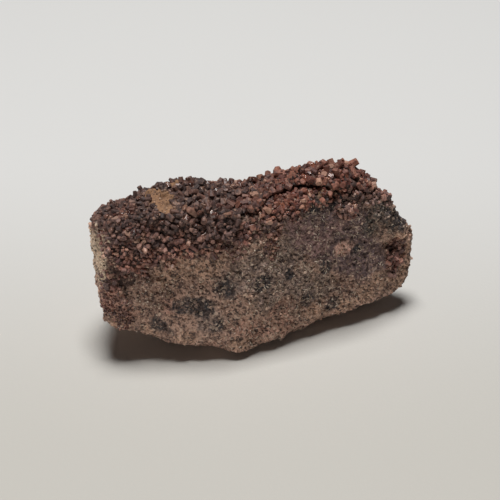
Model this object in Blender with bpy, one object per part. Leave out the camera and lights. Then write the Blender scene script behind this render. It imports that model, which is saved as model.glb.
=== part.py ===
"""Vanadinite in matrix: a broken block of host rock under a crust of small hexagonal crystals.

+X runs along the stone to the right, +Y away from the viewer, +Z up. The origin is under the middle of the
stone, on the surface that it stands on. Run it with: blender --background --python part.py
"""

import math
import random

import bmesh
import bpy
from mathutils import Matrix, Vector, noise
from mathutils.bvhtree import BVHTree

MM = 0.001

# Driving dimensions
STONE_LENGTH = 100 * MM  # of the drawn block, along X; the relief and the crust add about 2 mm
CRYSTAL_WIDTH = (1.9 * MM, 3.0 * MM)  # smallest and largest, across the flats of the hexagon
CRYSTAL_SPACING = 3.45 * MM  # least distance between the middles of two crystals of the crust
STRAY_WIDTH = (1.8 * MM, 2.6 * MM)  # the same for the crystals that grew on bare rock
STRAY_SPACING = 2.6 * MM
STRAY_CLEARANCE = 3.2 * MM  # least distance between the middle of a stray crystal and the crust's bed
CRUST_THICKNESS = 1.3 * MM  # the grown-together bed under the crystal heads
BED_FACETS = 0.5  # share of the rock's facets that the bed keeps
CRUST_GAP = 0.35 * MM  # between the bed and the rock, so that the two solids never meet
SLIVER = 0.002 * MM  # edges shorter than this are closed up after each Boolean
SEED = 11

# The block is drawn for a stone 100 units long.
UNIT = STONE_LENGTH / 100

# Corners of the broken block, in units: (x, y, z)
FRONT_CORNERS = (
    (-45.4, -20.8, 14.0),
    (-28.5, -20.8, 10.2),
    (-2.5, -20.8, 3.0),
    (17.8, -8.8, 3.8),
    (34.5, -0.5, 7.0),
    (50.2, 6.6, 8.0),
    (52.4, 8.8, 11.0),
    (52.0, 10.0, 21.0),
    (50.6, 11.0, 29.2),
    (45.4, 9.6, 38.4),
    (37.0, 5.5, 44.0),
    (26.5, 0.0, 48.4),
    (16.5, -5.5, 49.6),
    (1.5, -12.0, 49.2),
    (-10.5, -13.2, 49.8),
    (-29.0, -14.2, 49.6),
    (-42.0, -15.6, 45.8),
    (-44.6, -17.6, 30.0),
)
RIDGE_CORNERS = (
    (-46.6, -6.5, 42.6),
    (-38.4, -2.5, 45.4),
    (-25.0, -0.5, 51.0),
    (-13.0, 0.5, 50.4),
    (3.0, 2.5, 49.2),
    (13.6, 5.5, 50.6),
    (26.4, 8.5, 53.4),
    (30.6, 10.0, 50.6),
    (36.6, 11.5, 40.4),
)
END_CORNERS = (
    (-50.2, -7.0, 42.6),
    (-48.9, -6.5, 27.5),
    (-46.4, -8.0, 16.0),
    (52.0, 14.5, 22.0),
    (48.0, 15.0, 9.0),
)
BACK_CORNERS = (
    (-42.0, 10.0, 31.0),
    (-43.0, 13.0, 15.0),
    (-20.0, 17.0, 35.0),
    (-26.0, 20.5, 14.0),
    (5.0, 18.0, 34.0),
    (8.0, 21.0, 11.0),
    (29.0, 19.0, 33.0),
    (40.0, 18.5, 24.0),
    (41.0, 18.5, 10.0),
)
FOOT_CORNERS = (
    (-29.0, -8.0, -1.2),
    (-5.0, -12.5, -1.2),
    (17.0, -2.0, -1.2),
    (33.0, 8.5, -1.2),
    (32.0, 14.5, -1.2),
    (6.0, 16.5, -1.2),
    (-28.0, 14.0, -1.2),
)

# Hollows that fracture and solution left: (place, radius, depth) in units
HOLLOWS = (
    ((-1.0, 1.0, 51.5), 20.0, 4.2),  # saddle in the top
    ((9.5, 4.0, 51.5), 7.0, 1.0),
    ((-12.4, -1.0, 51.5), 3.2, 1.8),  # gap in the ridge
    ((45.5, 5.5, 24.0), 6.0, 2.4),  # pocket beside the right end
    ((23.5, -6.0, 3.0), 4.2, 3.0),  # chip out of the lower edge
    ((-12.0, -20.0, 4.6), 7.0, 2.0),  # where the lower edge steps up to the left of the keel
    ((-45.0, -17.0, 19.5), 4.0, 1.4),  # nick above the lower left corner
    ((-10.0, 18.5, 24.0), 15.0, 2.6),  # scoop in the back
    ((27.0, 19.5, 18.0), 9.0, 2.0),
)

# The crust's lower edge, left to right, in units: over the front as (x, z + FRONT_RISE * y), since the edge climbs
# the front face and then runs back over the top, and on the back as (x, z)
FRONT_RISE = 0.7
CRUST_FRONT_EDGE = (
    (-60.0, 16.0),
    (-45.0, 17.5),
    (-42.6, 20.5),
    (-33.0, 20.2),
    (-27.7, 21.6),
    (-21.7, 23.8),
    (-13.4, 27.8),
    (-9.2, 30.0),
    (-5.1, 34.7),
    (0.9, 39.1),
    (4.8, 43.4),
    (7.1, 46.0),
    (16.7, 48.4),
    (26.8, 50.0),
    (36.3, 48.0),
    (60.0, 45.0),
)
CRUST_BACK_EDGE = ((-60.0, 39.0), (-44.0, 39.5), (-25.0, 44.0), (3.0, 41.5), (27.0, 46.0), (41.0, 37.0), (60.0, 30.0))
CRUST_LEFT_END, CRUST_RIGHT_END = -46.0, 38.0  # in units
BARE_END_FACING = -0.62  # rock that faces further to the left than this has no crust

# Crystals that grew on the bare rock of the front: (x, z, radius of the group, crystals) in units
STRAY_GROUPS = (
    (30.0, 40.8, 4.0, 5),  # a cluster below the crust on the right
    (44.6, 23.0, 4.0, 4),  # in the pocket beside the right end
    (41.0, 39.0, 3.5, 3),  # on the right shoulder
    (-39.0, 24.0, 6.0, 5),  # below the crust's lower left corner
    (-30.0, 28.0, 5.0, 3),
    (-8.0, 38.0, 5.0, 3),
)

ROCK_GRID = 1.5 * MM  # step of the grid that the block is weathered on
ROCK_TRIANGLES = 1650
BROAD_RELIEF, BROAD_SIZE = 1.1 * MM, 17 * MM  # height and width of the rock's swells
LEDGE_RELIEF, LEDGE_SIZE = 0.9 * MM, 6.5 * MM  # the same of its ledges
BACK_ROUGHNESS = 1.9  # how much higher the ledges are on the broken back and ends


def clear_scene():
    for old in list(bpy.data.objects):
        bpy.data.objects.remove(old)


def material(name, colour, roughness):
    made = bpy.data.materials.new(name)
    made.use_nodes = True
    shader = made.node_tree.nodes["Principled BSDF"]
    shader.inputs["Base Color"].default_value = (*colour, 1)
    shader.inputs["Roughness"].default_value = roughness
    shader.inputs["Metallic"].default_value = 0
    return made


def add_object(name, mesh, finish=None):
    made = bpy.data.objects.new(name, mesh)
    bpy.context.scene.collection.objects.link(made)
    if finish:
        mesh.materials.clear()
        mesh.materials.append(finish)
    return made


def mesh_from(bm, name):
    mesh = bpy.data.meshes.new(name)
    bm.to_mesh(mesh)
    bm.free()
    return mesh


def apply_modifiers(obj):
    """Puts what the object's modifiers make into its mesh."""
    graph = bpy.context.evaluated_depsgraph_get()
    graph.update()
    finished = bpy.data.meshes.new_from_object(obj.evaluated_get(graph))
    obj.modifiers.clear()
    obj.data = finished


def block_hull():
    """The block as it broke: flat faces between its corners."""
    bm = bmesh.new()
    for corner in FRONT_CORNERS + RIDGE_CORNERS + END_CORNERS + BACK_CORNERS + FOOT_CORNERS:
        bm.verts.new(Vector(corner) * UNIT)
    bmesh.ops.convex_hull(bm, input=bm.verts)
    inside = [v for v in bm.verts if not v.link_faces]
    bmesh.ops.delete(bm, geom=inside, context="VERTS")
    bmesh.ops.recalc_face_normals(bm, faces=bm.faces)
    return mesh_from(bm, "block")


def hollow_depth(point):
    """How far the hollows sink the surface at a point."""
    sunk = 0.0
    for place, radius, depth in HOLLOWS:
        away = (point - Vector(place) * UNIT).length / (radius * UNIT)
        if away < 1:
            sunk += depth * UNIT * (1 - away * away) ** 2
    return sunk


def relief(point, normal):
    """How far the swells and ledges raise the surface at a point."""
    broad = noise.noise(point / BROAD_SIZE)
    ledges = noise.ridged_multi_fractal(point / LEDGE_SIZE, 1.0, 2.0, 3, 1.0, 2.0, noise_basis="PERLIN_ORIGINAL")
    rough = 1 + (BACK_ROUGHNESS - 1) * min(1, max(0, normal.y + 0.3))
    return BROAD_RELIEF * broad + LEDGE_RELIEF * rough * (0.5 * ledges - 0.5)


def weather(block):
    """Wears the block: a fine grid over it, swells, ledges and hollows, and then fewer, larger facets."""
    grid = block.modifiers.new("grid", "REMESH")
    grid.mode = "VOXEL"
    grid.voxel_size = ROCK_GRID
    apply_modifiers(block)
    bm = bmesh.new()
    bm.from_mesh(block.data)
    for _ in range(2):
        bmesh.ops.smooth_vert(bm, verts=bm.verts, factor=0.5, use_axis_x=True, use_axis_y=True, use_axis_z=True)
    bm.normal_update()
    shifts = [v.normal * (relief(v.co, v.normal) - hollow_depth(v.co)) for v in bm.verts]
    for vert, shift in zip(bm.verts, shifts):
        vert.co += shift
    bmesh.ops.triangulate(bm, faces=bm.faces)
    count = len(bm.faces)
    bm.to_mesh(block.data)
    bm.free()
    fewer = block.modifiers.new("facets", "DECIMATE")
    fewer.ratio = ROCK_TRIANGLES / count
    apply_modifiers(block)


def cut_foot(block):
    """Cuts the underside flat at Z 0, where the stone rests."""
    bm = bmesh.new()
    bm.from_mesh(block.data)
    cut = bmesh.ops.bisect_plane(
        bm,
        geom=bm.verts[:] + bm.edges[:] + bm.faces[:],
        plane_co=(0, 0, 0),
        plane_no=(0, 0, -1),
        clear_outer=True,
    )
    rim = [g for g in cut["geom_cut"] if isinstance(g, bmesh.types.BMEdge)]
    bmesh.ops.edgeloop_fill(bm, edges=rim)
    bmesh.ops.triangulate(bm, faces=[f for f in bm.faces if len(f.verts) > 3])
    bmesh.ops.recalc_face_normals(bm, faces=bm.faces)
    bm.to_mesh(block.data)
    bm.free()


def edge_height(edge, x):
    """Height at x of a line of (x, height) corners, in units."""
    for (x0, z0), (x1, z1) in zip(edge, edge[1:]):
        if x0 <= x <= x1:
            return z0 + (z1 - z0) * (x - x0) / (x1 - x0)
    return edge[-1][1]


def in_crust(point, normal):
    """Whether the crust covers the rock at a point."""
    x, y, z = point / UNIT
    if not CRUST_LEFT_END < x < CRUST_RIGHT_END or normal.x < BARE_END_FACING:
        return False
    if normal.y > 0.35:
        return z > edge_height(CRUST_BACK_EDGE, x)
    return z + FRONT_RISE * y > edge_height(CRUST_FRONT_EDGE, x)


def trim_edge(bm):
    """Evens out the edge of a patch: removes facets that stick out of it as spikes, and those that hang on by one
    corner, where a shell made from them would touch itself."""
    spikes = [f for f in bm.faces if sum(e.is_boundary for e in f.edges) > 1]
    bmesh.ops.delete(bm, geom=spikes, context="FACES")
    while True:
        pinched = [v for v in bm.verts if sum(e.is_boundary for e in v.link_edges) > 2]
        if not pinched:
            return
        bmesh.ops.delete(bm, geom=list({f for v in pinched for f in v.link_faces}), context="FACES")


def keep_largest_patch(bm):
    """Removes every face that isn't joined, edge to edge, to the largest patch."""
    left = set(bm.faces)
    patches = []
    while left:
        patch, front = set(), [left.pop()]
        while front:
            face = front.pop()
            patch.add(face)
            near = {f for e in face.edges for f in e.link_faces} & left
            left -= near
            front.extend(near)
        patches.append(patch)
    patches.sort(key=len)
    small = [f for patch in patches[:-1] for f in patch]
    bmesh.ops.delete(bm, geom=small, context="FACES")


def crust_bed(rock):
    """The bed of the crust: a shell of even thickness over the rock's top and upper front."""
    bm = bmesh.new()
    bm.from_mesh(rock.data)
    bm.normal_update()
    for vert, shift in [(v, v.normal * CRUST_GAP) for v in bm.verts]:
        vert.co += shift
    bare = [f for f in bm.faces if not in_crust(f.calc_center_median(), f.normal)]
    bmesh.ops.delete(bm, geom=bare, context="FACES")
    bed = add_object("crust_bed", mesh_from(bm, "crust_bed"))
    fewer = bed.modifiers.new("facets", "DECIMATE")
    fewer.ratio = BED_FACETS
    apply_modifiers(bed)
    bm = bmesh.new()
    bm.from_mesh(bed.data)
    trim_edge(bm)
    keep_largest_patch(bm)
    bm.to_mesh(bed.data)
    bm.free()
    shell = bed.modifiers.new("thickness", "SOLIDIFY")
    shell.thickness = CRUST_THICKNESS
    shell.offset = 1
    return bed


def scattered(mesh, spacing, tries, chance, wanted):
    """Places at least spacing apart on a mesh's wanted faces, as (point, normal)."""
    mesh.calc_loop_triangles()
    faces = [t for t in mesh.loop_triangles if wanted(t)]
    areas = [t.area for t in faces]
    places = []
    for face in chance.choices(faces, weights=areas, k=tries):
        a, b, c = (mesh.vertices[i].co for i in face.vertices)
        s, t = math.sqrt(chance.random()), chance.random()
        point = a * (1 - s) + b * (s * (1 - t)) + c * (s * t)
        if all((point - other).length > spacing for other, _ in places):
            places.append((point, face.normal.copy()))
    return places


def stray_places(rock, bed, chance):
    """Places for the groups of crystals on the bare front of the rock, clear of the crust."""
    under_bed = BVHTree.FromPolygons([v.co for v in bed.data.vertices], [p.vertices for p in bed.data.polygons])
    places = []
    for x, z, radius, count in STRAY_GROUPS:

        def wanted(face):
            away = Vector((face.center.x, face.center.z)) - Vector((x, z)) * UNIT
            return face.normal.y < 0 and away.length < radius * UNIT

        found = scattered(rock.data, STRAY_SPACING, 40 * count, chance, wanted)
        clear = [(p, n) for p, n in found if under_bed.find_nearest(p)[3] > STRAY_CLEARANCE]
        places += clear[:count]
    return places


def add_crystal(bm, point, normal, width, length, sunk, chance):
    """A stubby hexagonal prism with bevelled ends, standing out of the surface at a slant."""
    lean = Vector([chance.gauss(0, 0.36) for _ in range(3)])
    axis = (normal + lean).normalized()
    turn = axis.to_track_quat("Z", "Y").to_matrix().to_4x4() @ Matrix.Rotation(chance.uniform(0, math.pi / 3), 4, "Z")
    middle = point + axis * (length / 2 - sunk)
    radius = width / math.sqrt(3)
    bmesh.ops.create_cone(
        bm,
        cap_ends=True,
        segments=6,
        radius1=radius,
        radius2=radius * chance.uniform(0.72, 0.98),
        depth=length,
        matrix=Matrix.Translation(middle) @ turn,
    )


def crystals_on(name, places, chance, sizes, sunk):
    """One mesh of crystals at the given places."""
    bm = bmesh.new()
    for point, normal in places:
        width = chance.uniform(*sizes)
        length = sunk + width * chance.uniform(0.35, 0.75)
        add_crystal(bm, point, normal, width, length, sunk, chance)
    return add_object(name, mesh_from(bm, name))


def combine(target, other, operation):
    """Joins another object to the target, or cuts it away."""
    step = target.modifiers.new(operation.lower(), "BOOLEAN")
    step.operation = operation
    step.object = other
    step.solver = "EXACT"
    step.use_self = True
    apply_modifiers(target)
    bpy.data.objects.remove(other)
    bm = bmesh.new()
    bm.from_mesh(target.data)
    bmesh.ops.dissolve_degenerate(bm, edges=bm.edges, dist=SLIVER)
    bmesh.ops.triangulate(bm, faces=bm.faces)
    bm.to_mesh(target.data)
    bm.free()


def grown_copy(rock, growth):
    """The rock a little larger all round, as a cutter for what grows on it."""
    bm = bmesh.new()
    bm.from_mesh(rock.data)
    bm.normal_update()
    for vert, shift in [(v, v.normal * growth) for v in bm.verts]:
        vert.co += shift
    return add_object("grown_rock", mesh_from(bm, "grown_rock"))


def centre(objects):
    """Shifts the finished solids so that the origin is under the middle of the whole stone."""
    points = [v.co for obj in objects for v in obj.data.vertices]
    low, high = (Vector(pick(p[i] for p in points) for i in range(3)) for pick in (min, max))
    shift = Vector((-(low.x + high.x) / 2, -(low.y + high.y) / 2, -low.z))
    for obj in objects:
        obj.data.transform(Matrix.Translation(shift))
    print("shifted by", [round(c / MM, 3) for c in shift], "mm; whole", [round(c / MM, 2) for c in high - low], "mm")


def build():
    clear_scene()
    chance = random.Random(SEED)
    rock_finish = material("matrix_rock", (0.15, 0.10, 0.08), 0.9)
    crystal_finish = material("vanadinite", (0.17, 0.06, 0.045), 0.35)

    rock = add_object("matrix", block_hull(), rock_finish)
    weather(rock)
    cut_foot(rock)

    crust = crust_bed(rock)
    places = scattered(crust.data, CRYSTAL_SPACING, 6000, chance, lambda face: True)
    raised = [(point + normal * CRUST_THICKNESS, normal) for point, normal in places]
    heads = crystals_on("crystal_heads", raised, chance, CRYSTAL_WIDTH, 0.8 * CRUST_THICKNESS)
    strays = stray_places(rock, crust, chance)
    lone = crystals_on("lone_crystals", strays, chance, STRAY_WIDTH, 0.7 * CRUST_THICKNESS)
    apply_modifiers(crust)
    combine(crust, heads, "UNION")
    combine(crust, grown_copy(rock, 0.6 * CRUST_GAP), "DIFFERENCE")
    combine(rock, lone, "UNION")
    crust.name = "vanadinite_crust"
    crust.data.materials.clear()
    crust.data.materials.append(crystal_finish)
    centre((rock, crust))
    print(len(places), "crystals on the crust,", len(strays), "on the bare rock")


build()
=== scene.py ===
# %% [markdown]
# # Vanadinite in matrix
# A hand specimen: a broken block of brown host rock that carries a crust of small hexagonal crystals over its top and
# down the upper left of its front. This lesson dresses a plain model of it. Two things make such a stone believable:
# relief at every size, from the broken edges down to grains of half a millimetre, and colour that changes with the
# mineral that each place is made of. The work goes from large to small: stage, rock, crust, crystals, grains.

# %% Tools and the plain model
import math
import random

import bmesh
import bpy
import numpy as np
from mathutils import Matrix, Vector, noise
from mathutils.bvhtree import BVHTree


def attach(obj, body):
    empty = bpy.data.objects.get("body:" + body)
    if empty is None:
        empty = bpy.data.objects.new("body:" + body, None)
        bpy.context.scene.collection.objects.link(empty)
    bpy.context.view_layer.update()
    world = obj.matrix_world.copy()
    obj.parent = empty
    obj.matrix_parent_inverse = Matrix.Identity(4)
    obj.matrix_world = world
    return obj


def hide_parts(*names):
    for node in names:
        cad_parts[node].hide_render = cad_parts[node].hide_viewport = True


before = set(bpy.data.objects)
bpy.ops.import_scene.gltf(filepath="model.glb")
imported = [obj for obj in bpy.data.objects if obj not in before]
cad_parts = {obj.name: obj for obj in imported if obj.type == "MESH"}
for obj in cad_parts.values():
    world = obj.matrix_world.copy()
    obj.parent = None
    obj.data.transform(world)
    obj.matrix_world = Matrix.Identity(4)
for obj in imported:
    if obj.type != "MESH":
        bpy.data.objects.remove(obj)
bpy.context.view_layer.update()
MM = 0.001

# %% [markdown]
# ## Stage
# The stone stands on a pale matt table under one lamp that hangs high over it, so the table under the leaning front
# is in deep shadow and the pale table itself throws light back up at the front. A weak lamp close to the level of the
# table, front left, lifts the front without reaching under it. A faint even sky fills the rest. A plain response from
# light to picture ("Standard") keeps the greys neutral. The camera is long and looks down at about 35 degrees.

# %% Camera
VIEW_RISE = math.radians(35)
VIEW_DISTANCE = 400 * MM
VIEW_TARGET = Vector((-1.24, 0.15, 26.0)) * MM

camera = bpy.data.objects.new("camera", bpy.data.cameras.new("camera"))
bpy.context.scene.collection.objects.link(camera)
camera.location = VIEW_TARGET + VIEW_DISTANCE * Vector((0, -math.cos(VIEW_RISE), math.sin(VIEW_RISE)))
camera.rotation_euler = (math.pi / 2 - VIEW_RISE, 0, 0)
camera.data.sensor_width = 36
camera.data.lens = 92.16
camera.data.shift_x, camera.data.shift_y = -0.002, 0.008
camera.data.clip_start = 0.01
bpy.context.scene.camera = camera
bpy.context.scene.view_settings.view_transform = "Standard"

# %% Lamps and sky
def lamp(name, place, width, depth, watts, colour):
    """A flat lamp that faces the middle of the stone. Its place and size are in millimetres."""
    data = bpy.data.lights.new(name, "AREA")
    data.shape, data.size, data.size_y = "RECTANGLE", width * MM, depth * MM
    data.energy, data.color = watts, colour
    made = bpy.data.objects.new(name, data)
    bpy.context.scene.collection.objects.link(made)
    made.location = Vector(place) * MM
    made.rotation_euler = (VIEW_TARGET - made.location).to_track_quat("-Z", "Y").to_euler()


lamp("overhead", (-40, 120, 1500), 480, 480, 23.6, (1.0, 0.99, 0.97))
lamp("low_fill", (-740, -730, 62), 500, 100, 2.1, (1.0, 0.97, 0.94))

sky = bpy.data.worlds.new("sky")
sky.use_nodes = True
sky.node_tree.nodes["Background"].inputs["Color"].default_value = (0.96, 0.98, 1.0, 1)
sky.node_tree.nodes["Background"].inputs["Strength"].default_value = 0.02
bpy.context.scene.world = sky

# %% [markdown]
# ## Short calls for materials
# A material here is a tree of nodes. Wiring each node by hand takes three lines, so a small class adds a node, sets
# it and wires it in one call, and hands back one of its outputs. Everything is measured in millimetres on Object
# coordinates, which stay with the stone when the camera moves.

# %% Node helpers
class Tree:
    """Adds nodes to one material or group."""

    def __init__(self, tree):
        self.tree = tree

    def add(self, kind, inputs=None, out=0, **settings):
        node = self.tree.nodes.new(kind)
        for name, value in settings.items():
            setattr(node, name, value)
        for name, value in (inputs or {}).items():
            if isinstance(value, bpy.types.NodeSocket):
                self.tree.links.new(value, node.inputs[name])
            else:
                node.inputs[name].default_value = value
        return node.outputs[out]

    def math(self, operation, a, b=0.0, clamp=False):
        return self.add("ShaderNodeMath", {0: a, 1: b}, operation=operation, use_clamp=clamp)

    def span(self, value, low, high, to_low=0.0, to_high=1.0):
        """Stretches low..high of a value to a new range, smoothly."""
        inputs = {"Value": value, "From Min": low, "From Max": high, "To Min": to_low, "To Max": to_high}
        return self.add("ShaderNodeMapRange", inputs, interpolation_type="SMOOTHSTEP")

    def mix(self, share, a, b, blend="MIX"):
        """Mixes two colours."""
        a, b = (c if isinstance(c, bpy.types.NodeSocket) else (*c, 1) for c in (a, b))
        return self.add("ShaderNodeMix", {0: share, 6: a, 7: b}, out=2, data_type="RGBA", blend_type=blend)

    def noise(self, place, scale, detail=3.0, rough=0.5, twist=0.0):
        inputs = {"Vector": place, "Scale": scale, "Detail": detail, "Roughness": rough, "Distortion": twist}
        return self.add("ShaderNodeTexNoise", inputs)

    def cells(self, place, scale, out=0):
        return self.add("ShaderNodeTexVoronoi", {"Vector": place, "Scale": scale}, out=out)

    def place(self):
        """Object coordinates in millimetres."""
        spot = self.add("ShaderNodeTexCoord", out=3)
        return self.add("ShaderNodeVectorMath", {0: spot, 3: 1000.0}, operation="SCALE")

    def bump(self, height, strength, depth, normal=None):
        inputs = {"Height": height, "Strength": strength, "Distance": depth}
        if normal:
            inputs["Normal"] = normal
        return self.add("ShaderNodeBump", inputs)


def new_material(name):
    """An empty Principled material, its Tree and its shader node."""
    made = bpy.data.materials.new(name)
    made.use_nodes = True
    return made, Tree(made.node_tree), made.node_tree.nodes["Principled BSDF"]


def feed(tree, shader, **sockets):
    """Wires outputs, or sets values, on the Principled shader."""
    for name, value in sockets.items():
        socket = shader.inputs[name.replace("_", " ")]
        if isinstance(value, bpy.types.NodeSocket):
            tree.tree.links.new(value, socket)
        else:
            socket.default_value = value


def new_group(name, inputs, outputs):
    """A node group, its Tree, and its input and output nodes. Sockets are given as {name: type}."""
    group = bpy.data.node_groups.new(name, "ShaderNodeTree")
    for in_out, sockets in (("INPUT", inputs), ("OUTPUT", outputs)):
        for socket, kind in sockets.items():
            group.interface.new_socket(name=socket, in_out=in_out, socket_type="NodeSocket" + kind)
    return group, Tree(group), group.nodes.new("NodeGroupInput").outputs, group.nodes.new("NodeGroupOutput").inputs


# %% Table
def linked(name, bm, material):
    """Turns a bmesh into a named object that wears a material."""
    mesh = bpy.data.meshes.new(name)
    bm.to_mesh(mesh)
    bm.free()
    mesh.materials.append(material)
    made = bpy.data.objects.new(name, mesh)
    bpy.context.scene.collection.objects.link(made)
    return made


table_finish, tree, shader = new_material("pale_table")
where = tree.place()
depth = tree.add("ShaderNodeSeparateXYZ", {0: where}, out=1)
feed(
    tree,
    shader,
    # Painted shade: the table is painted darker towards the camera and paler further back, for the lamp's light that
    # falls off towards the front.
    Base_Color=tree.mix(tree.span(depth, -70, 110), (0.565, 0.548, 0.510), (0.70, 0.70, 0.695)),
    Roughness=0.7,
    Normal=tree.bump(tree.noise(where, 0.9, 5.0), 0.25, 0.0002),
)
bm = bmesh.new()
bmesh.ops.create_grid(bm, x_segments=8, y_segments=8, size=2.0)
table = linked("table", bm, table_finish)

# %% [markdown]
# ## Where the stains are
# The rock isn't one colour. Manganese oxide leaves blue-black stains, iron leaves ochre and tan ones, a purple-grey
# skin covers the right of the front, and the left end shows fresh cream rock. Each stain is a ball of influence
# around a place on the surface: (x, y, z, radius) in millimetres. A few balls together make an irregular patch, and
# noise frays their edges.

# %% Stains
STAINS = {
    # Partly painted shade: the first brown balls lie along the shoulder under the front of the crust and darken a
    # ledge that the overhead lamp lights; the rest are dark rock.
    "brown": (
        (3.0, -9.4, 47.0, 3.6), (8.0, -7.6, 48.0, 4.0), (13.5, -5.0, 48.6, 4.4), (18.0, -4.0, 49.2, 3.6),
        (23.0, -2.0, 49.6, 3.0), (33.0, 5.0, 46.0, 4.0), (38.0, 8.5, 43.0, 3.6), (44.4, 7.8, 20.6, 3.4),
        (43.8, 6.2, 16.6, 2.6), (-2.0, -12.5, 42.5, 4.0), (-43.5, -18.6, 30.5, 4.0), (-38.0, -18.0, 31.0, 4.0),
    ),
    "grey": (
        (0.0, -15.5, 30.0, 6.5), (7.0, -12.0, 26.0, 6.5), (14.0, -9.0, 22.0, 5.5), (4.0, -14.5, 20.0, 5.0),
        (20.0, -6.5, 18.0, 5.0), (-7.0, -16.0, 27.0, 5.0), (-14.0, -18.0, 15.0, 5.0), (10.0, -9.0, 33.0, 5.5),
        (-47.0, -13.0, 44.0, 3.6), (-40.0, -19.0, 20.0, 4.0),
    ),
    "mauve": ((16.1, -6.1, 37.1, 4.4), (20.0, -4.6, 33.0, 4.0), (12.0, -7.5, 42.0, 3.4), (25.0, -2.2, 38.0, 3.0)),
    "dark": (
        (-16.1, -18.3, 18.9, 3.6), (-19.6, -18.2, 19.8, 3.2), (-22.8, -18.8, 19.6, 2.4), (-8.8, -17.0, 25.1, 3.4),
        (-11.3, -19.7, 12.7, 2.6), (-29.6, -20.3, 13.9, 2.8), (2.1, -14.9, 25.4, 3.2), (10.4, -10.8, 26.2, 1.8),
        (16.5, -8.6, 15.0, 2.6), (24.1, -4.9, 10.3, 2.6), (21.7, -4.9, 24.6, 2.4), (31.9, 0.8, 27.4, 1.8),
        (46.1, 9.5, 32.2, 3.4), (41.0, 7.5, 36.5, 2.6), (18.0, -4.6, 46.6, 3.0), (24.6, -1.2, 46.2, 3.4),
    ),
    "purple": (
        (13.4, -6.5, 46.5, 5.0), (20.3, -3.5, 40.4, 7.0), (26.1, -1.2, 35.9, 6.5), (31.0, 0.4, 30.0, 5.5),
        (36.0, 2.6, 24.0, 6.0), (39.1, 3.4, 19.4, 3.6), (22.8, -2.0, 43.0, 5.5), (33.0, 2.2, 38.0, 4.0),
        (14.0, -6.4, 42.0, 6.0), (17.0, -5.6, 36.0, 6.0), (23.0, -3.0, 31.0, 6.5), (29.0, -0.8, 25.0, 6.0),
        (35.0, 1.8, 20.0, 5.0), (28.0, 0.2, 41.0, 6.0), (10.0, -8.6, 45.5, 5.0),
    ),
    "green": ((39.1, 5.8, 38.7, 4.5), (44.5, 8.8, 33.6, 5.0), (36.0, 4.0, 34.0, 4.0)),
    "tan": (
        (-21.0, -16.3, 32.4, 4.6), (-15.0, -16.4, 31.0, 4.2), (-27.0, -17.0, 30.3, 3.6), (-11.0, -15.9, 34.8, 3.0),
        (40.3, 3.0, 14.2, 4.0), (46.3, 6.0, 11.4, 3.6), (35.1, -0.3, 11.6, 3.6),
        (28.7, -3.5, 8.2, 3.4), (18.6, -7.7, 8.8, 3.2), (48.7, 9.1, 21.3, 2.8), (49.1, 8.3, 14.7, 3.2),
        (46.8, 9.1, 26.7, 2.0), (-32.1, -20.1, 11.8, 3.2), (-41.1, -20.4, 15.1, 3.0), (-21.5, -20.5, 8.8, 3.4),
        (-4.6, -19.7, 6.0, 3.2),
    ),
    "ochre": (
        (-28.1, -7.8, 52.5, 4.2), (-30.6, -3.5, 51.5, 3.2), (-26.4, -12.0, 51.4, 3.0), (-24.7, -0.2, 52.5, 2.6),
        (18.9, -2.3, 49.7, 1.8), (24.2, -0.1, 48.2, 1.8), (27.0, 0.6, 47.8, 1.4),
    ),
    "patch": ((26.8, -1.5, 29.2, 2.7), (28.6, -1.0, 29.2, 2.6)),
    "rose": (
        (-25.5, -19.0, 19.8, 2.6), (-42.6, -19.8, 20.4, 3.6), (-43.6, -19.4, 25.6, 3.4), (-38.0, -19.6, 18.4, 3.4),
        (2.8, -15.8, 9.9, 4.4), (9.4, -12.8, 7.4, 3.6), (7.5, -13.4, 13.5, 3.4), (-3.0, -18.0, 11.0, 3.6),
    ),
    "cream": (
        (-47.2, -13.2, 42.5, 3.4), (-47.8, -12.6, 38.0, 3.8), (-47.4, -14.8, 33.4, 3.8), (-47.0, -16.6, 29.6, 3.0),
        (-49.0, -9.0, 36.0, 5.0), (-48.6, -8.0, 29.0, 4.5), (-44.4, -17.2, 41.9, 1.9),
    ),
}
WIDE_STAIN = 3.3  # balls with a larger radius fray widely
SMOOTH_STAINS = ("purple", "patch", "cream")  # these carry few specks
STAIN_COLOURS = {
    # brown: dark rock, and painted shade on the shoulder under the crust.
    "brown": (0.120, 0.066, 0.052),
    "grey": (0.370, 0.265, 0.222),
    "purple": (0.225, 0.150, 0.155),
    "mauve": (0.400, 0.240, 0.225),
    "green": (0.130, 0.115, 0.100),
    "tan": (0.640, 0.400, 0.285),
    "ochre": (0.310, 0.165, 0.085),
    "patch": (0.950, 0.570, 0.460),
    "rose": (0.620, 0.350, 0.265),
    "dark": (0.042, 0.040, 0.046),
    "cream": (0.980, 0.770, 0.570),
}

# %% [markdown]
# One group measures one ball, so every material that needs the stains gets the same ones. The group hands out only a
# mask. A second group joins the balls of each stain and lays its colour over the one that comes in. It also says how
# smooth the place is, because the purple skin and the fresh rock carry few specks.

# %% Stain groups
ball, tree, given, wanted = new_group(
    "ball", {"Place": "Vector", "Middle": "Vector", "Radius": "Float"}, {"Mask": "Float"}
)
away = tree.add(
    "ShaderNodeVectorMath", {0: given["Place"], 1: given["Middle"]}, out=1, operation="DISTANCE"
)
share = tree.math("DIVIDE", away, given["Radius"])
tree.tree.links.new(tree.span(share, 1.25, 0.7), wanted["Mask"])

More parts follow.
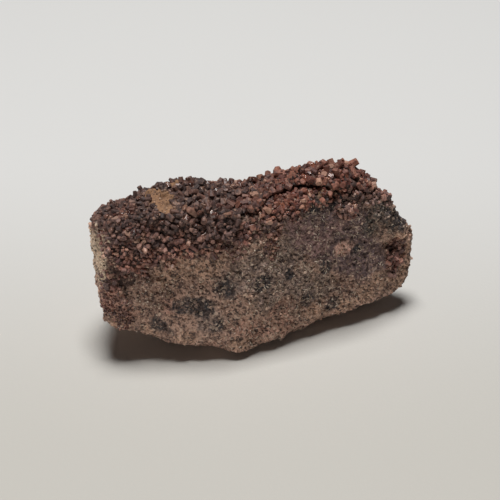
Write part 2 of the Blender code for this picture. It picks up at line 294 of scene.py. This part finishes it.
stained, tree, given, wanted = new_group(
    "stained", {"Colour": "Color", "Amount": "Float"}, {"Colour": "Color", "Smooth": "Float"}
)
where = tree.place()
wander = tree.add("ShaderNodeTexNoise", {"Vector": where, "Scale": 0.35, "Detail": 4.0}, out=1)
wander = tree.add("ShaderNodeVectorMath", {0: wander, 1: (0.5, 0.5, 0.5)}, operation="SUBTRACT")
wide, tight = (
    tree.add("ShaderNodeVectorMath", {0: wander, 1: (reach,) * 3, 2: where}, operation="MULTIPLY_ADD")
    for reach in (7.0, 3.0)
)
broken = tree.span(tree.noise(where, 0.9, 4.0, 0.65), 0.36, 0.56)
colour, smooth = given["Colour"], 0.0
for stain, tint in STAIN_COLOURS.items():
    mask = None
    for x, y, z, radius in STAINS[stain]:
        node = tree.tree.nodes.new("ShaderNodeGroup")
        node.node_tree = ball
        tree.tree.links.new(wide if radius > WIDE_STAIN else tight, node.inputs["Place"])
        node.inputs["Middle"].default_value = (x, y, z)
        node.inputs["Radius"].default_value = radius
        one = node.outputs["Mask"]
        mask = one if mask is None else tree.math("MAXIMUM", mask, one)
    if stain in SMOOTH_STAINS:
        smooth = tree.math("MAXIMUM", smooth, mask)
    mask = tree.math("MULTIPLY", mask, tree.span(broken, 0, 1, 0.5, 1.0))
    colour = tree.mix(tree.math("MULTIPLY", mask, given["Amount"]), colour, tint)
tree.tree.links.new(colour, wanted["Colour"])
tree.tree.links.new(smooth, wanted["Smooth"])
print("stains:", {stain: len(balls) for stain, balls in STAINS.items()})


def with_stains(tree, colour, amount, out="Colour"):
    """Lays the stains over a colour, or gives the smoothness instead."""
    node = tree.tree.nodes.new("ShaderNodeGroup")
    node.node_tree = stained
    tree.tree.links.new(colour, node.inputs["Colour"])
    node.inputs["Amount"].default_value = amount
    return node.outputs[out]


# %% [markdown]
# ## Rock finish
# Weathered host rock is a mix of grains: brown clay and iron oxide, darker and paler specks under a millimetre, and
# tiny flakes that catch the light. Three sizes of noise give the mottling, a cell pattern gives single grains, and the
# same patterns drive the bump, so a pale grain also stands up.

# %% Rock material
def rock_colour(tree, where):
    """The colour of the rock before its grains are added: broad patches, stains, mottling and painted shade on the
    back.
    """
    broad = tree.span(tree.noise(where, 0.09, 5.0, 0.6), 0.36, 0.64)
    colour = tree.mix(broad, (0.400, 0.242, 0.184), (0.620, 0.393, 0.300))
    colour = with_stains(tree, colour, 1.0)
    # Painted shade: the back of the rock is painted darker, so it doesn't look pale under the overhead lamp.
    back = tree.span(tree.add("ShaderNodeSeparateXYZ", {0: where}, out=1), 8, 17)
    colour = tree.mix(back, colour, (0.55, 0.55, 0.56), "MULTIPLY")
    middle = tree.noise(where, 0.36, 5.0, 0.7, 0.6)
    colour = tree.mix(tree.span(middle, 0.48, 0.36, 0.0, 0.7), colour, (0.090, 0.062, 0.056))
    return tree.mix(tree.span(middle, 0.56, 0.72, 0.0, 0.4), colour, (0.760, 0.520, 0.390))


rock_finish, tree, shader = new_material("host_rock")
where = tree.place()
colour = rock_colour(tree, where)
fine = tree.noise(where, 0.80, 4.0, 0.72, 0.5)
grain = tree.cells(where, 1.1, out=1)
grain_tone = tree.add("ShaderNodeSeparateColor", {0: grain}, out=0)
specks = tree.math("SUBTRACT", 1.0, tree.math("MULTIPLY", with_stains(tree, colour, 1.0, "Smooth"), 0.75))
darker = tree.math("MULTIPLY", tree.span(fine, 0.49, 0.40, 0.0, 0.95), specks)
paler = tree.math("MULTIPLY", tree.span(fine, 0.54, 0.68, 0.0, 0.65), specks)
colour = tree.mix(darker, colour, (0.080, 0.053, 0.047))
colour = tree.mix(paler, colour, (0.880, 0.600, 0.460))
colour = tree.mix(tree.span(grain_tone, 0.90, 0.96, 0.0, 0.5), colour, (0.840, 0.620, 0.480))
colour = tree.mix(tree.span(grain_tone, 0.14, 0.06, 0.0, 0.7), colour, (0.050, 0.034, 0.034))
pits = tree.cells(where, 1.25)
height = tree.math("ADD", tree.math("MULTIPLY", fine, 0.9), tree.math("MULTIPLY", pits, -0.5))
feed(
    tree,
    shader,
    Base_Color=colour,
    Roughness=tree.span(grain_tone, 0.0, 1.0, 0.92, 0.6),
    Normal=tree.bump(height, 0.9, 0.0006),
)

grain_finish, tree, shader = new_material("rock_grain")
where = tree.place()
chance = tree.add("ShaderNodeNewGeometry", out=8)
colour = rock_colour(tree, where)
colour = tree.mix(tree.span(chance, 0.50, 0.05, 0.0, 0.85), colour, (0.060, 0.038, 0.034))
colour = tree.mix(tree.span(chance, 0.75, 1.0, 0.0, 0.7), colour, (0.840, 0.600, 0.450))
feed(
    tree,
    shader,
    Base_Color=colour,
    Roughness=tree.span(chance, 0.0, 1.0, 0.9, 0.5),
    Normal=tree.bump(tree.noise(where, 3.0, 2.0), 0.4, 0.0002),
)

pale_finish, tree, shader = new_material("pale_grain")
where = tree.place()
chance = tree.add("ShaderNodeNewGeometry", out=8)
feed(
    tree,
    shader,
    Base_Color=tree.mix(tree.span(chance, 0.0, 1.0), (0.620, 0.450, 0.320), (0.900, 0.780, 0.640)),
    Roughness=0.6,
    Normal=tree.bump(tree.noise(where, 3.0, 2.0), 0.4, 0.0002),
)

# %% [markdown]
# ## Even grids
# A copy of a plain node is rebuilt on an even grid, which is what relief needs: a few large facets can't be pushed
# about finely.

# %% Grids
GRID = 0.68 * MM


def settle(obj):
    """Puts what the object's modifiers make into its mesh."""
    graph = bpy.context.evaluated_depsgraph_get()
    graph.update()
    obj.data, old = bpy.data.meshes.new_from_object(obj.evaluated_get(graph)), obj.data
    obj.modifiers.clear()
    bpy.data.meshes.remove(old)


def regrid(node, name, size, smoothings, material):
    """A copy of a plain node on an even grid of the given size, with its corners eased."""
    bm = bmesh.new()
    bm.from_mesh(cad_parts[node].data)
    bmesh.ops.remove_doubles(bm, verts=bm.verts, dist=1e-6)
    made = linked(name, bm, material)
    grid = made.modifiers.new("grid", "REMESH")
    grid.mode, grid.voxel_size = "VOXEL", size
    settle(made)
    bm = bmesh.new()
    bm.from_mesh(made.data)
    for _ in range(smoothings):
        bmesh.ops.smooth_vert(bm, verts=bm.verts, factor=0.5, use_axis_x=True, use_axis_y=True, use_axis_z=True)
    bm.normal_update()
    return made, bm


def write_back(made, bm, smooth=True):
    """Puts a bmesh back into its object and prints its size."""
    bm.to_mesh(made.data)
    bm.free()
    made.data.shade_smooth() if smooth else made.data.shade_flat()
    made.data.calc_loop_triangles()
    print(f"{made.name}: {len(made.data.loop_triangles):,} triangles")


def near_place(where, x, y, z, radius):
    """1 at a place, falling smoothly to 0 at the given radius. All in millimetres."""
    share = (where - Vector((x, y, z))).length / radius
    return max(0.0, 1.0 - share * share) ** 2


# %% [markdown]
# ## Crystal finish
# Vanadinite is resinous: a red-brown body under a bright, slightly greasy surface. These crystals are dulled by a thin
# skin of iron oxide, each by a different amount. "Random Per Island" gives every crystal its own number, which picks
# its colour and its gloss, so a few flash and most don't. The right end of the top is redder, the left end and the
# front are more purple, which a mask on the place mixes in. Over that the crystals carry painted light and shade by
# height: painted darker on the top, where the overhead lamp falls, and brighter lower down the front.

# %% Crystal material
def crystal_colour(tree, where, chance, deep, usual, bright, dust):
    """A colour for each crystal between four tones: its random number runs from deep to dust."""
    colour = tree.mix(tree.span(chance, 0.0, 0.45), deep, usual)
    colour = tree.mix(tree.span(chance, 0.50, 0.80), colour, bright)
    return tree.mix(tree.span(chance, 0.86, 1.0, 0.0, 0.9), colour, dust)


crystal_finish, tree, shader = new_material("vanadinite")
where = tree.place()
chance = tree.add("ShaderNodeNewGeometry", out=8)
x, y, z = (tree.add("ShaderNodeSeparateXYZ", {0: where}, out=i) for i in range(3))
red_end = tree.math("MULTIPLY", tree.span(x, -14, 14), tree.span(z, 44, 50))
area = tree.math("ADD", red_end, tree.span(tree.noise(where, 0.14, 3.0), 0.35, 0.65, -0.3, 0.3), clamp=True)
purple = crystal_colour(
    tree, where, chance, (0.060, 0.034, 0.032), (0.120, 0.066, 0.056), (0.210, 0.112, 0.088), (0.380, 0.240, 0.180)
)
red = crystal_colour(
    tree, where, chance, (0.105, 0.030, 0.024), (0.240, 0.075, 0.050), (0.440, 0.180, 0.120), (0.720, 0.440, 0.320)
)
colour = tree.mix(area, purple, red)
# Painted light and shade: crystals high on the top are painted darker and those lower on the front brighter, against
# how the overhead lamp lights them.
painted_light_and_shade = tree.mix(tree.span(z, 40, 50), (1.80, 1.74, 1.72), (0.70, 0.63, 0.60))
colour = tree.mix(1.0, colour, painted_light_and_shade, "MULTIPLY")
skin = tree.noise(where, 1.1, 4.0, 0.65)
colour = tree.mix(tree.span(skin, 0.54, 0.68, 0.0, 0.6), colour, (0.460, 0.280, 0.200))
colour = tree.mix(tree.span(skin, 0.47, 0.34, 0.0, 0.85), colour, (0.026, 0.016, 0.016))
gloss = tree.math("FRACT", tree.math("MULTIPLY", chance, 7.3))
feed(
    tree,
    shader,
    Base_Color=colour,
    Roughness=tree.math("SUBTRACT", 0.66, tree.span(gloss, 0.70, 1.0, 0.0, 0.56)),
    IOR=1.6,
    Normal=tree.bump(tree.noise(where, 3.0, 3.0, 0.6), 0.5, 0.00025),
)

bed_and_gap_shade_finish, tree, shader = new_material("crust_bed")
where = tree.place()
speck = tree.noise(where, 1.0, 4.0, 0.65)
# Partly painted shade: the bed is painted nearly black, partly the dark crust itself and partly the deep shade in the
# gaps between the crystals, where the bed shows.
colour = tree.mix(tree.span(tree.noise(where, 0.25, 3.0), 0.35, 0.65), (0.025, 0.015, 0.014), (0.065, 0.034, 0.028))
colour = tree.mix(tree.span(speck, 0.52, 0.68, 0.0, 0.6), colour, (0.240, 0.130, 0.095))
colour = with_stains(tree, colour, 0.95)
feed(tree, shader, Base_Color=colour, Roughness=0.75, Normal=tree.bump(speck, 0.8, 0.0005))

# %% [markdown]
# ## Crust
# The crust is grown together below and separate above. Its bed is a copy of the plain crust on an even grid, where
# the large plain crystals become soft mounds. New crystals of every size then stand on the bed, closely packed, each
# a blunt hexagonal prism with bevelled edges that leans its own way. Where the iron stain is, the bed stays bare.

# %% Crust bed
bed, bm = regrid("vanadinite_crust", "crust_bed", 0.6 * MM, 4, bed_and_gap_shade_finish)
shifts = []
for vert in bm.verts:
    where = vert.co / MM
    hole = near_place(where, 30.1, 3.5, 49.8, 3.2) + near_place(where, -13.7, 2.6, 50.5, 2.8)
    out = 0.35 * noise.fractal(where / 1.4, 0.8, 2.2, 3) - 0.40 - 1.1 * hole
    shifts.append((vert, vert.normal * out * MM))
for vert, shift in shifts:
    vert.co += shift
write_back(bed, bm)
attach(bed, "root")
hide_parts("vanadinite_crust")


# %% [markdown]
# ## Rock body
# The front, which shows the most, gets a grid twice as fine. The relief is the sum of broad swells, ridged ledges,
# lumps and rounded grains, each pushing the surface along its own normal, with a few dents and bumps at set places.
# Under the crust the rock is kept low, so it doesn't come through.

# %% Relief
def grains(point, size):
    """Rounded grains of a given size: 1 on the middle of a grain, 0 between grains."""
    near = noise.voronoi(point / size)[0]
    return min(1.0, (near[1] - near[0]) * 1.6)


bed_shell = BVHTree.FromObject(bed, bpy.context.evaluated_depsgraph_get())
DENTS = (
    (44.6, 7.6, 21.4, 4.2, 1.5), (44.0, 6.0, 17.4, 3.4, 1.3), (44.8, 8.4, 24.4, 2.6, 0.9), (30.1, 2.6, 49.2, 2.6, 1.6),
    (-37.0, -19.6, 9.0, 4.0, 0.8), (12.5, -10.0, 5.5, 4.5, 0.9), (-16.0, -18.6, 19.0, 3.2, 0.5),
    (-8.8, -17.0, 25.1, 2.8, 0.5), (2.1, -14.9, 25.4, 2.8, 0.5), (24.6, -1.2, 46.2, 4.0, 0.7),
)
BUMPS = (
    (46.8, 9.1, 27.4, 2.4, 1.0), (49.3, 8.6, 18.0, 3.4, 0.8), (20.5, -1.8, 49.3, 3.4, 0.6),
    (-46.6, -15.6, 38.6, 3.0, 0.7), (-23.0, -19.6, 9.6, 3.6, 0.7), (28.0, -1.0, 42.4, 3.6, 0.6),
    (-42.0, -20.4, 15.4, 4.2, 0.6), (6.0, -15.0, 6.5, 4.0, 0.6),
)


def rock_relief(point, normal):
    """How far the rock stands out of the plain block at a point, in metres."""
    where = point / MM
    swell = noise.noise(where / 9) * 0.6
    ledge = noise.ridged_multi_fractal(where / 4.2, 0.9, 2.1, 3, 1.0, 2.0, noise_basis="PERLIN_ORIGINAL")
    lumps = noise.fractal(where / 2.4, 0.9, 2.1, 3)
    crumb = noise.fractal(where / 1.0, 0.8, 2.2, 3)
    front = max(0.0, min(1.0, -normal.y * 2))
    rough = 1.0 - 0.45 * front
    out = swell + (0.42 * ledge - 0.5) * rough + 0.44 * lumps + 0.42 * crumb + 0.30 * (grains(where, 1.3) - 0.6)
    out -= sum(depth * near_place(where, x, y, z, radius) for x, y, z, radius, depth in DENTS)
    out += sum(rise * near_place(where, x, y, z, radius) for x, y, z, radius, rise in BUMPS)
    out -= 0.9 * max(0.0, min(1.0, -normal.x * 2 - 0.8))
    if bed_shell.find_nearest(point, 1.2 * MM)[0]:
        out = min(out, -0.5)
    return out * MM


rock, bm = regrid("matrix", "host_rock", GRID, 2, rock_finish)
front = [f for f in bm.faces if f.normal.y < -0.25 and f.calc_center_median().z > 2 * MM]
edges = list({e for f in front for e in f.edges})
bmesh.ops.subdivide_edges(bm, edges=edges, cuts=1, use_grid_fill=True)
bm.normal_update()
shifts = [(v, v.normal * rock_relief(v.co, v.normal)) for v in bm.verts]
for vert, shift in shifts:
    held = min(1.0, max(0.0, vert.co.z / (2 * MM)))
    vert.co += shift * held
bmesh.ops.triangulate(bm, faces=[f for f in bm.faces if len(f.verts) > 4])
write_back(rock, bm)
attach(rock, "root")
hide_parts("matrix")


# %% Scattering
CELL = 2.4 * MM  # side of the boxes that neighbours are looked for in, wider than any spacing


class Spread:
    """Picks places on a mesh by area and by how much each place wants, none nearer to another than its spacing."""

    def __init__(self, obj, chance):
        mesh = obj.data
        mesh.calc_loop_triangles()
        count = len(mesh.loop_triangles)
        corners = np.empty(count * 3, np.int32)
        mesh.loop_triangles.foreach_get("vertices", corners)
        places = np.empty(len(mesh.vertices) * 3)
        mesh.vertices.foreach_get("co", places)
        self.corners = places.reshape(-1, 3)[corners.reshape(-1, 3)]
        sides = np.cross(self.corners[:, 1] - self.corners[:, 0], self.corners[:, 2] - self.corners[:, 0])
        self.area = np.linalg.norm(sides, axis=1) / 2
        self.normal = sides / (2 * self.area[:, None] + 1e-20)
        self.middle = self.corners.mean(axis=1)
        self.chance = chance

    def places(self, wish, tries, spacing):
        """wish gives each triangle's share, from its middle and normal in millimetres; spacing is in millimetres."""
        weight = self.area * np.array([wish(Vector(m) / MM, Vector(n)) for m, n in zip(self.middle, self.normal)])
        total = np.cumsum(weight)
        found, cells = [], {}
        for _ in range(tries):
            i = int(np.searchsorted(total, self.chance.random() * total[-1]))
            s, t = math.sqrt(self.chance.random()), self.chance.random()
            a, b, c = (Vector(p) for p in self.corners[i])
            point = a * (1 - s) + b * (s * (1 - t)) + c * (s * t)
            gap = spacing(point / MM) * MM
            key = tuple(int(c // CELL) for c in point)
            near = (
                cells.get((key[0] + i, key[1] + j, key[2] + k), ())
                for i in (-1, 0, 1) for j in (-1, 0, 1) for k in (-1, 0, 1)
            )
            if all((point - other).length > max(gap, room) for group in near for other, room in group):
                cells.setdefault(key, []).append((point, gap * 0.9))
                found.append((point, Vector(self.normal[i]), gap))
        return found


# %% Shapes for crystals and grains
BATCH = 150  # shapes made in one bmesh


def jitter(verts, amount, chance):
    """Moves each corner a little at random, so no two shapes are alike."""
    for vert in verts:
        vert.co += Vector([chance.uniform(-amount, amount) for _ in range(3)])


def add_crystal(bm, point, normal, width, height, lean, chance):
    """A stubby hexagonal prism that stands out of the surface by its height, leaning at random."""
    axis = (normal + Vector([chance.gauss(0, lean) for _ in range(3)])).normalized()
    if axis.dot(normal) < 0.15:
        axis = (axis + normal * 0.8).normalized()
    turn = axis.to_track_quat("Z", "Y").to_matrix().to_4x4()
    spin, squash = chance.uniform(0, math.pi / 3), chance.uniform(0.65, 1)
    turn @= Matrix.Rotation(spin, 4, "Z") @ Matrix.Diagonal((1, squash, 1, 1))
    sunk = 0.5 * width
    made = bmesh.ops.create_cone(
        bm,
        cap_ends=True,
        segments=6,
        radius1=width / math.sqrt(3),
        radius2=width / math.sqrt(3) * chance.uniform(0.6, 0.95),
        depth=height + sunk,
        matrix=Matrix.Translation(point + axis * ((height - sunk) / 2)) @ turn,
    )
    jitter(made["verts"], 0.07 * width, chance)


def soften(bm, offset):
    """Bevels every edge by one flat strip, which catches the light along the edges."""
    bmesh.ops.bevel(
        bm, geom=bm.edges[:], offset=offset, affect="EDGES", segments=1, profile=0.5, material=-1, clamp_overlap=True
    )


def many(name, items, add, material, bevel=0):
    """One piece from many small shapes. An operator slows down as its bmesh fills, so they are made in batches."""
    whole, batch = bmesh.new(), bpy.data.meshes.new("batch")
    for start in range(0, len(items), BATCH):
        bm = bmesh.new()
        for item in items[start : start + BATCH]:
            add(bm, *item)
        if bevel:
            soften(bm, bevel)
        bm.to_mesh(batch)
        bm.free()
        whole.from_mesh(batch)
    bpy.data.meshes.remove(batch)
    made = linked(name, whole, material)
    made.data.shade_flat()
    made.data.calc_loop_triangles()
    print(f"{name}: {len(items):,} shapes, {len(made.data.loop_triangles):,} triangles")
    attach(made, "root")
    return made


def crystal_piece(name, places, chance, lean, width, height, material, bevel):
    """One piece made of a crystal at each place. width and height are ranges of shares of the gap and of the width."""

    def add(bm, point, normal, gap):
        size = gap * chance.uniform(*width)
        add_crystal(bm, point, normal, size, size * chance.uniform(*height), lean, chance)

    return many(name, places, add, material, bevel)


# %% [markdown]
# Where the crystals stand is a wish: a share for each place. On the crust they want the whole outside but for the
# bare stained patch. On the rock they want the strip beside the crust, where they get smaller and rarer with
# distance, and a few places where groups grow on their own. The fresh left end stays free of them.

# %% Wishes
chance = random.Random(5)
rock_shell = BVHTree.FromObject(rock, bpy.context.evaluated_depsgraph_get())
FRESH_END = -47  # left of this the rock is freshly broken and has no crystals
BARE = ((-28.1, -7.8, 52.5, 4.0), (-30.6, -3.5, 51.5, 3.0), (-26.4, -12.0, 51.4, 2.6), (-24.7, -0.2, 52.5, 2.6))
GROUPS = (
    (28.0, -1.0, 42.4, 4.6), (40.4, 9.5, 43.0, 4.5), (36.5, 6.5, 46.0, 5.0), (44.6, 8.2, 21.0, 4.6),
    (44.0, 6.6, 16.8, 3.4),
    (-43.0, -19.5, 22.0, 6.5), (-40.0, -19.5, 16.0, 5.0), (-44.0, -18.5, 28.0, 5.0), (12.0, -6.0, 47.5, 6.0),
    (20.0, -3.0, 48.5, 4.5), (4.0, -9.5, 44.0, 6.0), (-6.0, -13.0, 38.0, 5.0), (5.0, -12.0, 36.0, 4.0),
)


def crust_wish(point, normal):
    """Crystals stand on the outside of the crust, not on the side that lies on the rock."""
    hit = rock_shell.find_nearest(point * MM)
    outward = (point * MM - hit[0]).dot(hit[1])
    bare = max(near_place(point, x, y, z, radius * 1.3) for x, y, z, radius in BARE)
    return 1.0 if normal.dot(hit[1]) > -0.25 and outward > 0.3 * MM and bare < 0.3 else 0.0


def fineness(point):
    """0 where the crystals are coarsest, on the top, to 1 low on the front."""
    return max(0.0, min(1.0, (49 - point.z - 0.35 * (point.y + 10)) / 14))


def crust_spacing(point):
    ends = max(0.0, min(1.0, (abs(point.x - 4) - 24) / 10))
    return 1.85 - 0.75 * max(fineness(point), 0.7 * ends) + 0.35 * noise.noise(point / 6)


def rim_wish(point, normal):
    """On the rock: close to the crust and in the groups."""
    away = (bed_shell.find_nearest(point * MM)[0] / MM - point).length
    fringe = max(0.0, 1.0 - away / (4.5 + 2.5 * noise.noise(point / 5)))
    group = max(near_place(point, x, y, z, radius) for x, y, z, radius in GROUPS)
    facing = 1.0 if normal.y < -0.2 or normal.z > 0.2 or away < 2.5 else 0.3
    if point.x < FRESH_END:
        return 0.0
    return facing * min(1.0, fringe + 1.5 * group) if point.z > 1.5 and away > 0.5 else 0.0


def rim_spacing(point):
    away = (bed_shell.find_nearest(point * MM)[0] / MM - point).length
    group = max(near_place(point, x, y, z, radius) for x, y, z, radius in GROUPS)
    return max(0.65, 1.4 - 0.10 * away + 0.6 * group + 0.3 * noise.noise(point / 3))


# %% Crystals of the crust
spread = Spread(bed, chance)
coarse = spread.places(crust_wish, 7000, crust_spacing)
crust = crystal_piece("crust_crystals", coarse, chance, 0.75, (0.95, 1.35), (0.3, 0.8), crystal_finish, 0.11 * MM)
small = spread.places(crust_wish, 5000, lambda point: 0.62 * crust_spacing(point))
fill = crystal_piece("crust_filling", small, chance, 0.9, (0.9, 1.3), (0.1, 0.5), crystal_finish, 0)

# %% Crystals on the rock
spread = Spread(rock, chance)
strays = spread.places(rim_wish, 9000, rim_spacing)
fringe = crystal_piece("fringe_crystals", strays, chance, 0.8, (0.9, 1.5), (0.25, 0.9), crystal_finish, 0)
CLUSTERS = (
    (27.0, -1.2, 42.6, 2.6), (29.6, -0.2, 42.0, 2.4), (44.8, 8.4, 22.4, 2.8), (44.2, 7.2, 18.8, 2.6),
    (43.8, 6.0, 15.8, 2.0), (38.6, 9.0, 44.4, 2.4), (41.0, 10.5, 41.6, 1.8), (33.0, 4.0, 48.0, 2.6),
    (4.5, -8.6, 47.4, 3.4), (9.5, -6.6, 48.6, 3.4),
    (14.0, -4.6, 49.4, 2.4), (-2.0, -12.4, 42.6, 2.8), (6.0, -10.6, 42.0, 2.4),
)


def cluster_wish(point, normal):
    """Small groups of coarser crystals at set places."""
    return max(near_place(point, x, y, z, radius * 1.3) for x, y, z, radius in CLUSTERS)


grown = spread.places(cluster_wish, 1500, lambda point: 1.25)
clusters = crystal_piece("rock_clusters", grown, chance, 0.9, (1.0, 1.5), (0.4, 1.0), crystal_finish, 0.09 * MM)

# %% [markdown]
# ## Grains
# Loose-looking grains of the rock itself, half sunk, cover what the crystals leave free. They are small pebbles with
# twenty faces. Their material takes the rock's own colour and lets each grain be darker or paler.

# %% Rock grains
def grain_wish(point, normal):
    if point.z < 1.0:
        return 0.0
    smooth = max(near_place(point, x, y, z, radius * 1.5) for x, y, z, radius in STAINS["purple"])
    return (0.25 + 0.75 * max(0.0, noise.noise(point / 4.5) * 1.3 + 0.35)) * (1 - 0.8 * smooth)


def grain_spacing(point):
    return 0.80 + 0.25 * noise.noise(point / 3)


def add_pebble(bm, point, normal, gap):
    size = gap * chance.choice((0.32, 0.38, 0.45, 0.55, 0.75))
    turn = (normal + Vector([chance.gauss(0, 0.5) for _ in range(3)])).to_track_quat("Z", "Y").to_matrix().to_4x4()
    squash = Matrix.Diagonal((1, chance.uniform(0.55, 1), chance.uniform(0.5, 0.9), 1))
    made = bmesh.ops.create_icosphere(
        bm, subdivisions=1, radius=size, matrix=Matrix.Translation(point - normal * size * 0.1) @ turn @ squash
    )
    jitter(made["verts"], 0.12 * size, chance)


def add_needle(bm, point, normal, _gap):
    """A pale splinter that lies on the surface or stands up a little: a flake seen on edge."""
    along = normal.cross(Vector([chance.gauss(0, 1) for _ in range(3)])) + normal * chance.uniform(-0.2, 0.4)
    turn = along.to_track_quat("Z", "Y").to_matrix().to_4x4()
    width = chance.uniform(0.08, 0.17) * MM
    bmesh.ops.create_cone(
        bm, cap_ends=True, segments=4, radius1=width, radius2=width * 0.4, depth=chance.uniform(0.5, 1.5) * MM,
        matrix=Matrix.Translation(point + normal * 0.05 * MM) @ turn,
    )


pebbles = spread.places(grain_wish, 14000, grain_spacing)
bed_spread = Spread(bed, chance)
bare = bed_spread.places(
    lambda point, normal: max(near_place(point, x, y, z, radius * 1.4) for x, y, z, radius in BARE), 260, grain_spacing
)
pebbles += bare
pebble_piece = many("rock_grains", pebbles, add_pebble, grain_finish)


# %% Pale grains
PALE = (
    (-30.0, -17.6, 28.9, 4.0), (-30.0, -19.6, 19.1, 4.0), (-34.0, -18.6, 25.9, 4.5), (-27.0, -18.0, 26.0, 4.0),
    (-33.0, -19.3, 20.5, 3.5), (-47.0, -15.0, 36.0, 4.5), (-47.0, -15.5, 30.0, 4.5), (8.4, -9.1, 41.3, 1.2),
    (40.1, 4.1, 19.7, 1.4), (44.5, 8.4, 26.8, 1.4),
)


def pale_wish(point, normal):
    return max(near_place(point, x, y, z, radius) for x, y, z, radius in PALE) + 0.004


flecks = spread.places(pale_wish, 420, lambda point: 0.6)
fleck_piece = many("pale_grains", flecks, add_pebble, pale_finish)


# %% Splinters
def hair_wish(point, normal):
    """Splinters are thickest in the middle of the front."""
    front = max(0.0, min(1.0, -normal.y * 2)) * near_place(point, 12, -9, 26, 34)
    return max(0.04, noise.noise(point / 4) * 1.4 + 0.4) * (0.15 + 1.5 * front)


hairs = spread.places(hair_wish, 3000, lambda point: 0.6)
hair_piece = many("splinters", hairs, add_needle, pale_finish)
